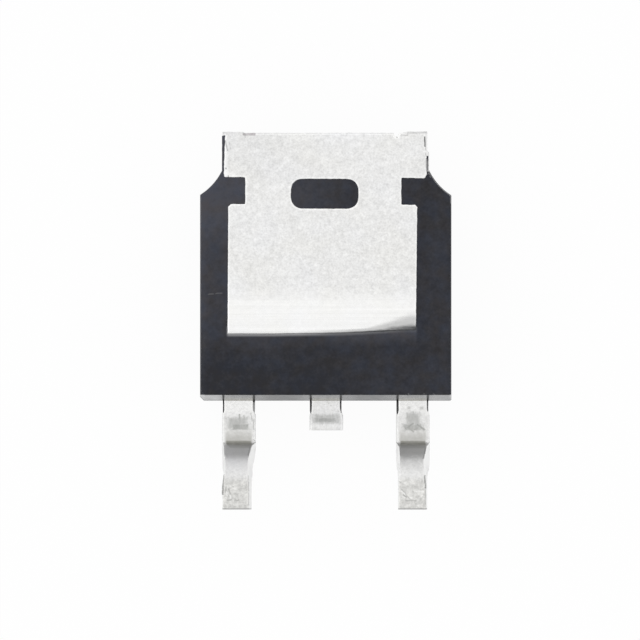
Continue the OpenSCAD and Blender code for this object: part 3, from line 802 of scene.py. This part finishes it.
# Scuffs, specks and nicks at the tab's corners and on its edges
TAB_SCUFFS = [
    (2.592, 4.8, 2.604, 4.57, 0.03, 0.9), (2.612, 4.57, 2.625, 4.47, 0.016, 0.45),
    (2.614, 4.386, 2.627, 4.308, 0.018, 0.45), (2.61, 4.23, 2.632, 3.96, 0.02, 0.26),
    (-2.628, 4.7, -2.578, 4.45, 0.024, 0.46), (-2.523, 4.649, -2.497, 4.492, 0.022, 0.18),
    (-2.617, 3.99, -2.613, 3.97, 0.022, 0.8), (-2.554, 3.785, -2.554, 3.76, 0.022, 0.6),
    (-2.116, 4.85, -2.112, 4.8, 0.026, 0.24), (1.985, 4.862, 2.143, 4.85, 0.018, 0.35),
    (2.143, 4.855, 2.156, 4.91, 0.016, 0.3), (1.862, 4.797, 1.874, 4.793, 0.018, 0.6),
    (-0.345, -2.935, -0.27, -2.945, 0.02, 0.22), (0.262, -2.925, 0.29, -2.935, 0.024, 0.3),
    (2.165, 4.914, 2.61, 4.926, 0.024, 0.22), (2.64, 4.25, 2.648, 3.96, 0.018, 0.55),
    (-2.155, 4.88, -2.11, 4.865, 0.034, 0.34), (0.07, -2.18, 0.076, -2.184, 0.02, 0.2),
    (0.135, -2.24, 0.143, -2.246, 0.022, 0.28),
]


def lead_material(name, finish, marks):
    """Tin on an outer lead: a root smoothed by the mould clamp and brightened by painted light,
    rubbed patch and a warm dull strip before the crease, painted shade in the crease and on the
    cool slope, painted highlights on the edges and flanks, and a mottled foot with scratches."""
    g = material(name)
    x, y, z = g.place()
    grain, fine, cloud, level = tin_base(g)
    out = Y_FRONT - y + g.noise(2.5, 2, 0.5) * 0.02
    ragged = x + g.noise(9, 2, 0.6) * 0.05, y + g.noise(11, 2, 0.6) * 0.05
    aside = abs(ragged[0] - marks["centre"])
    root, foot = out.step(0.5, 0.2), out.step(1.95, 2.15)
    mottle = g.noise(6.5, 3, 0.7)
    front = g.attribute("front")
    # painted highlight on the rounded near edges, and painted light that brightens the root beside
    # the moulding
    level = level + g.attribute("wear") * 0.12 + root * marks["root"]
    level = level - foot * 0.17 + foot * mottle * 0.65
    tone = g.mix(finish.tin, (0.8, 0.8, 0.8), cloud + 0.4)
    tone = g.mix(tone, (0.83, 0.825, 0.795), foot * 0.7)
    g.colour = g.scale(tone, level)
    # rubbed patch and dull strip
    streak = g.noise(6.0, 3, 0.7, (2.4, 0.7, 1))
    rubs = [g.patch(*shape, marks["turn"]) * strength for *shape, strength in marks["rubs"]]
    rub = largest(rubs + [strokes(*ragged, marks["rub_strokes"])])
    g.lay((0.395, 0.4, 0.385), rub * (1 + streak * 1.3) * z.step(1.6, 1.4) * front)
    dull = (out + mottle * 0.1).step(0.64, 1.0) * out.step(1.08, 1.04)
    dull = dull * (aside.step(0.385, 0.31) * front)
    g.lay((0.545, 0.54, 0.515), dull * (0.9 + mottle * 0.9))
    # painted shade in the crease, whose lower edge rises towards one side, and painted shade on the
    # slope
    lower = 1.23 - (x - marks["centre"]).step(-0.2, -0.37) * marks["smile"]
    crease = out.step(1.038, 1.068) * (out - lower).step(0.03, -0.01)
    crease = crease * aside.step(0.365, 0.305) * front
    g.lay((0.325, 0.32, 0.28), crease * (0.85 + mottle * 0.4))
    # darker painted shade in the corner of the crease
    corner = out.step(1.035, 1.06) * out.step(1.135, 1.09) * crease
    g.lay((0.185, 0.18, 0.165), corner * 0.3)
    # painted shade on the slope, darker because it stands steep to the light from above
    colour, strength, last, first = marks["slope_shade"]
    slope_shade = out.step(1.12, 1.2) * (out + mottle * 0.12).step(last, first) * front
    g.lay(colour, slope_shade * strength)
    # scratches, a painted highlight on the flanks, painted glints of the foot, and the dark cut of
    # its tip
    near = (z - Z_NEAR - out.step(1.05, 1.65) * LEAD_DROP).step(-0.3, -0.18)
    dark = strokes(*ragged, marks["scratches"]) * near
    # painted highlight on the flanks beside the near face
    g.lay((0.94, 0.94, 0.935), (1 - front) * out.step(0.95, 1.1) * (1 - dark) * 0.85)
    g.lay((0.22, 0.22, 0.215), dark * (0.8 + fine * 2))
    g.lay((0.93, 0.93, 0.92), strokes(*ragged, marks["glints"]))
    g.lay(0.34, out.step(2.8, 2.822) * 0.6)
    roughness = 0.42 + grain * 0.25 - root * 0.16
    metallic = 1.0 - out.step(1.02, 1.15) * out.step(1.85, 1.6) * front * 0.65
    return g.surface(roughness, metallic, grain + fine * 0.7 - dark * 0.8, finish.tin_relief)


# Marks on each outer lead: its centre line, how much painted light brightens the root, how its
# rubs are turned, how far the crease's painted shade bends up, the colour, strength and ends of
# the painted shade on the slope, and the marks themselves
PIN_1_MARKS = {
    "centre": LEAD_PITCH, "root": 0.025, "turn": 0.6, "smile": 0.0,
    "slope_shade": (0.42, 0.8, 2.18, 1.2),
    "rubs": [
        ((2.3, -2.61), (0.2, 0.2), 0.62), ((2.29, -2.81), (0.27, 0.09), 0.8),
        ((2.182, -2.297), (0.04, 0.04), 0.55), ((2.523, -2.31), (0.05, 0.04), 0.45),
    ],
    "rub_strokes": [
        (2.156, -2.809, 2.287, -2.717, 0.04, 1.0), (2.182, -2.822, 2.3, -2.927, 0.035, 0.95),
        (2.418, -2.743, 2.575, -2.861, 0.045, 1.0), (2.313, -2.875, 2.392, -2.835, 0.035, 0.95),
        (2.09, -2.79, 2.1, -2.84, 0.045, 0.9), (2.3, -2.41, 2.31, -2.52, 0.035, 0.6),
    ],
    "scratches": [
        (2.596, -4.08, 2.618, -4.385, 0.028, 0.85), (2.612, -4.44, 2.606, -4.81, 0.022, 0.45),
        (1.986, -4.421, 2.182, -4.657, 0.02, 0.4), (2.038, -4.578, 2.117, -4.631, 0.026, 0.55),
        (2.104, -4.722, 2.366, -4.722, 0.024, 0.45), (1.93, -4.225, 1.95, -4.24, 0.028, 0.4),
        (1.868, -3.215, 1.923, -3.281, 0.02, 0.4), (2.673, -3.262, 2.727, -3.208, 0.022, 0.45),
        (2.625, -3.345, 2.563, -3.615, 0.028, 0.6), (1.936, -3.32, 1.958, -3.53, 0.022, 0.35),
    ],
    "glints": [
        (2.26, -3.56, 2.4, -3.545, 0.018, 0.22), (2.43, -3.69, 2.5, -3.76, 0.018, 0.25),
        (1.999, -4.473, 2.077, -4.552, 0.02, 0.55), (2.34, -4.481, 2.576, -4.481, 0.022, 0.45),
        (2.222, -4.64, 2.25, -4.65, 0.026, 0.5),
    ],
}
PIN_3_MARKS = {
    "centre": -LEAD_PITCH, "root": 0.06, "turn": 0.1, "smile": 0.12,
    "slope_shade": ((0.5, 0.5, 0.515), 0.7, 2.25, 1.35),
    "rubs": [((-2.32, -2.7), (0.28, 0.155), 0.66), ((-2.248, -2.796), (0.23, 0.075), 0.95)],
    "rub_strokes": [
        (-2.261, -2.481, -2.253, -2.743, 0.032, 0.75), (-2.15, -2.5, -2.14, -2.7, 0.022, 0.6),
        (-1.975, -2.43, -1.93, -2.64, 0.024, 0.55), (-1.89, -2.6, -1.89, -2.85, 0.022, 0.55),
        (-2.06, -2.56, -2.055, -2.87, 0.02, 0.4),
    ],
    "scratches": [
        (-2.676, -4.06, -2.69, -4.27, 0.032, 0.75), (-2.704, -4.3, -2.702, -4.54, 0.046, 0.9),
        (-2.615, -4.369, -2.625, -4.5, 0.022, 0.5), (-2.549, -4.421, -2.502, -4.552, 0.022, 0.55),
        (-2.602, -4.526, -2.549, -4.604, 0.018, 0.45), (-2.444, -4.369, -2.425, -4.372, 0.024, 0.5),
        (-2.575, -4.722, -2.484, -4.696, 0.026, 0.45), (-2.379, -4.722, -2.274, -4.709, 0.024, 0.4),
        (-2.026, -4.08, -2.022, -4.19, 0.024, 0.34), (-2.022, -4.24, -2.02, -4.47, 0.024, 0.4),
        (-2.02, -4.53, -2.02, -4.83, 0.024, 0.32), (-1.894, -3.137, -1.868, -3.163, 0.02, 0.5),
        (-1.912, -3.241, -1.845, -3.212, 0.024, 0.6), (-2.668, -3.3, -2.652, -3.56, 0.022, 0.4),
        (-2.642, -3.62, -2.646, -3.72, 0.018, 0.3), (-1.99, -3.33, -2.036, -3.53, 0.024, 0.45),
    ],
    "glints": [
        (-2.6, -4.5, -2.59, -4.58, 0.024, 0.6), (-2.505, -4.59, -2.495, -4.66, 0.024, 0.55),
        (-2.64, -4.64, -2.6, -4.66, 0.022, 0.45),
    ],
}


def plain_metal(name, colour, tint, roughness, relief, stretch):
    """Solder or wire: a metal with streaks or clouds in its colour and relief."""
    g = material(name)
    g.place()
    streak = g.noise(9, 3, 0.6, stretch)
    g.colour = g.mix(colour, tint, streak * 2 + 0.5)
    return g.surface(roughness + streak * 0.2, 1.0, streak, relief * MM)


def silicon_material():
    """Back-lapped silicon: blue-grey, nearly smooth, with fine lapping lines across it."""
    g = material("Silicon")
    g.place()
    lines = g.noise(1.5, 2, 0.5, (0.6, 24, 1), 0.4)
    tint = lines * 2 + g.noise(2.0, 2, 0.5) + 0.5
    g.colour = g.mix((0.105, 0.12, 0.155), (0.145, 0.16, 0.19), tint)
    return g.surface(0.24 + lines * 0.25, 0.35, lines, 0.0004 * MM)


def paint(node, finish):
    """Gives a CAD node that stays its material."""
    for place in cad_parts[node].material_slots:
        place.material = finish


# Settings


def length(name, description, size):
    """Setting for a length, whose first value is given in millimetres."""
    return FloatProperty(name=name, description=description, default=size * MM, unit="LENGTH")


class MouldingSizes(bpy.types.PropertyGroup):
    edge_radius: length("Edge radius", "Rounding of the moulding's edges", 0.025)
    parting_ridge: length(
        "Parting ridge", "How far the flash line stands out at the parting plane", 0.004
    )
    edge_wear: length("Edge wear", "How far edges wander from a straight line", 0.005)
    ejector_diameter: length(
        "Ejector mark", "Diameter of the round mark on the marked face", 1.2
    )
    flash_width: FloatProperty(
        name="Resin flash", description="Width of the resin beside the lead roots, as a share",
        default=1.0, min=0.2, max=2.0, subtype="FACTOR",
    )


class MetalSizes(bpy.types.PropertyGroup):
    plate_edge: length(
        "Edge rounding", "Rounding that stamping and plating leave on an edge", 0.022
    )
    edge_wear: length("Edge wear", "How far the plate's edges wander from a straight line", 0.005)
    crease_out: length("Crease", "Distance from the moulding to the first bend", 1.05)
    crease_radius: length("Crease radius", "Inside radius of the first bend", 0.12)
    heel_radius: length("Heel radius", "Inside radius of the second bend", 0.23)
    lead_slope: FloatProperty(
        name="Slope", description="Slope of the lead between its bends",
        default=float(np.radians(70)), subtype="ANGLE",
    )


class Finishes(bpy.types.PropertyGroup):
    tin: FloatVectorProperty(
        name="Tin", description="Colour of the matt tin plate",
        default=(0.8, 0.797, 0.782, 1.0), size=4, subtype="COLOR",
    )
    tin_relief: length("Tin relief", "Height of the tin's grain", 0.0012)
    epoxy_relief: length("Epoxy relief", "Height of the moulding's matt texture", 0.001)
    burnish: FloatProperty(
        name="Burnish", description="How strongly the pad's lower end is burnished",
        default=1.0, min=0.0, max=1.0, subtype="FACTOR",
    )


class StageSettings(bpy.types.PropertyGroup):
    sky: FloatProperty(
        name="Sky", description="Mean light of the world", default=0.86, min=0.0,
    )
    lean: FloatProperty(
        name="Lean", description="How much stronger the light is from the tab's left", default=0.28,
        min=0.0,
    )
    camera_height: length("Camera height", "Height of the camera over the solder side", 466.0)


# Operators


class REGULATOR_OT_moulding(bpy.types.Operator):
    """Builds the epoxy moulding with the resin flash beside the metal"""

    bl_idname = "regulator.moulding"
    bl_label = "Moulding"

    def execute(self, context):
        sizes = context.scene.regulator_moulding
        surface = Surface()
        surface.add_tube(moulding_surface(sizes))
        # both kinds of flash start inside the moulding and turn pale past its wall
        low, high = Z_FAR + 0.02, Z_NEAR + 0.004
        for seed, (x, side, reach, width, pale) in enumerate(ROOT_LINES):
            half = side * width * sizes.flash_width / 2
            fin = sliver(x - half, x + half, Y_FRONT + 0.2, Y_FRONT - reach, low, high, seed, 0.14)
            surface.add_tube(fin, pale * np.clip((Y_FRONT - 0.03 - fin[:, :, 1]) / 0.03, 0, 1))
        low, high = Z_PLATE + 0.05, Z_SEAT - 0.004
        for x_in, x_out, y_end, seed, pale in TAB_FLASH:
            fin = sliver(x_in, x_out, 3.9, y_end, low, high, seed, rise=0.28)
            surface.add_tube(fin, pale * np.clip((4.25 - fin[:, :, 1]) / 0.1, 0, 1))
        look = epoxy_material(context.scene.regulator_finishes)
        surface.build("moulding", look, ["moulded_body"])
        return {"FINISHED"}


class REGULATOR_OT_heat_tab(bpy.types.Operator):
    """Builds the tab, pad and cropped middle lead as one stamping"""

    bl_idname = "regulator.heat_tab"
    bl_label = "Heat tab"

    def execute(self, context):
        sizes = context.scene.regulator_metal
        surface = Surface()
        plate_surface(surface, sizes)
        edge, seed = sizes.plate_edge / MM, 31
        surface.add_tube(*strip_surface(*strap_faces(sizes), STRAP_X, STUB_WIDTHS, edge, seed))
        surface.add_tube(block(LIP_LOW, LIP_HIGH))
        look = tab_material(context.scene.regulator_finishes)
        surface.build("tab_and_pad", look, ["heat_tab"])
        return {"FINISHED"}


class REGULATOR_OT_leads(bpy.types.Operator):
    """Builds the two outer leads"""

    bl_idname = "regulator.leads"
    bl_label = "Outer leads"

    def execute(self, context):
        sizes, finish = context.scene.regulator_metal, context.scene.regulator_finishes
        edge = sizes.plate_edge / MM
        for name, side, widths, marks in (
            ("pin_1", 1, PIN_1_WIDTHS, PIN_1_MARKS), ("pin_3", -1, PIN_3_WIDTHS, PIN_3_MARKS),
        ):
            surface = Surface()
            centre, seed = side * LEAD_PITCH, 40 + side
            surface.add_tube(*strip_surface(*lead_faces(sizes), centre, widths, edge, seed))
            post_surface(surface, side)
            look = lead_material(f"Tin on {name}", finish, marks)
            surface.build(f"{name}_formed", look, [f"{name}_lead"])
        return {"FINISHED"}


class REGULATOR_OT_chip(bpy.types.Operator):
    """Gives the die, its solder and the bond wires their materials"""

    bl_idname = "regulator.chip"
    bl_label = "Chip and wires"

    def execute(self, context):
        paint("silicon_die", silicon_material())
        solder = (0.4, 0.41, 0.42), (0.5, 0.5, 0.5), 0.45, 0.002, (1, 1, 1)
        paint("die_solder", plain_metal("Die solder", *solder))
        gold = (0.72, 0.42, 0.1), (0.8, 0.52, 0.17), 0.22, 0.0005, (1, 6, 6)
        gold = plain_metal("Gold wire", *gold)
        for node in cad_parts:
            if "_wire" in node:
                paint(node, gold)
        return {"FINISHED"}


class REGULATOR_OT_stage(bpy.types.Operator):
    """Sets up the pale floor, the soft light and the camera above the part"""

    bl_idname = "regulator.stage"
    bl_label = "Stage"

    def execute(self, context):
        scene, settings = context.scene, context.scene.regulator_stage
        scene.view_settings.view_transform = "Standard"
        # white floor that keeps a soft shadow, and shows white to the camera and in the metal
        half, sunk = 0.25, 0.000004
        mesh = bpy.data.meshes.new("floor")
        corner = np.array([[-1, -1, 0], [1, -1, 0], [1, 1, 0], [-1, 1, 0]]) * half
        mesh.from_pydata((corner - [0, 0, sunk]).tolist(), [], [[0, 1, 2, 3]])
        g = material("White floor")
        ray = g.node("LightPath").outputs
        kinds = ("Is Camera Ray", "Is Glossy Ray", "Is Transmission Ray")
        seen = largest([Field(g, ray[kind]) for kind in kinds])
        matt = g.node("BsdfDiffuse", None, {"Color": (0.9, 0.9, 0.9)})
        white = g.node("Emission", None, {"Color": (1, 1, 1), "Strength": 1.0})
        shaders = {0: seen * 0.95, 1: matt.outputs[0], 2: white.outputs[0]}
        both = g.node("MixShader", None, shaders)
        g.node("OutputMaterial", None, {"Surface": both.outputs[0]})
        mesh.materials.append(g.owner)
        floor = bpy.data.objects.new("floor", mesh)
        scene.collection.objects.link(floor)
        # soft sky, a little stronger from above and from the tab's left, and white to the camera
        scene.world = bpy.data.worlds.new("Soft sky")
        g = Graph(scene.world)
        way = {0: g.node("TexCoord").outputs["Generated"], 1: (-0.5, 0.55, 0.67)}
        towards = g.node("VectorMath", {"operation": "DOT_PRODUCT"}, way).outputs["Value"]
        light = Field(g, towards) * settings.lean + settings.sky
        camera_ray = Field(g, g.node("LightPath").outputs["Is Camera Ray"])
        strength = light + camera_ray * (1 - light)
        sky = g.node("Background", None, {"Color": (1, 1, 1), "Strength": strength})
        g.node("OutputWorld", None, {"Surface": sky.outputs[0]})
        # camera straight above the solder side
        lens = bpy.data.cameras.new("camera")
        lens.lens, lens.sensor_width = 1000.0, 36.0
        lens.clip_start, lens.clip_end = 0.001, 1.0
        camera = bpy.data.objects.new("camera", lens)
        camera.location = (-0.151 * MM, 0.009 * MM, Z_SEAT * MM + settings.camera_height)
        scene.collection.objects.link(camera)
        scene.camera = camera
        return {"FINISHED"}


class REGULATOR_PT_panel(bpy.types.Panel):
    """Lists the steps that build the regulator, and their sizes"""

    bl_idname = "REGULATOR_PT_panel"
    bl_label = "Voltage regulator"
    bl_space_type = "VIEW_3D"
    bl_region_type = "UI"
    bl_category = "Regulator"

    def draw(self, context):
        for operator, group in STEPS:
            self.layout.operator(operator.bl_idname)
            settings = getattr(context.scene, group)
            for name in settings.bl_rna.properties.keys():
                if name not in ("rna_type", "name"):
                    self.layout.prop(settings, name)


STEPS = (
    (REGULATOR_OT_moulding, "regulator_moulding"),
    (REGULATOR_OT_heat_tab, "regulator_metal"),
    (REGULATOR_OT_leads, "regulator_metal"),
    (REGULATOR_OT_chip, "regulator_finishes"),
    (REGULATOR_OT_stage, "regulator_stage"),
)
GROUPS = {
    "regulator_moulding": MouldingSizes,
    "regulator_metal": MetalSizes,
    "regulator_finishes": Finishes,
    "regulator_stage": StageSettings,
}


def register():
    for name, group in GROUPS.items():
        bpy.utils.register_class(group)
        setattr(bpy.types.Scene, name, PointerProperty(type=group))
    for operator, _ in STEPS:
        bpy.utils.register_class(operator)
    bpy.utils.register_class(REGULATOR_PT_panel)


def unregister():
    bpy.utils.unregister_class(REGULATOR_PT_panel)
    for operator, _ in reversed(STEPS):
        bpy.utils.unregister_class(operator)
    for name, group in reversed(GROUPS.items()):
        delattr(bpy.types.Scene, name)
        bpy.utils.unregister_class(group)


def main():
    register()
    bpy.ops.regulator.moulding()
    bpy.ops.regulator.heat_tab()
    bpy.ops.regulator.leads()
    bpy.ops.regulator.chip()
    bpy.ops.regulator.stage()


if __name__ == "__main__":
    main()
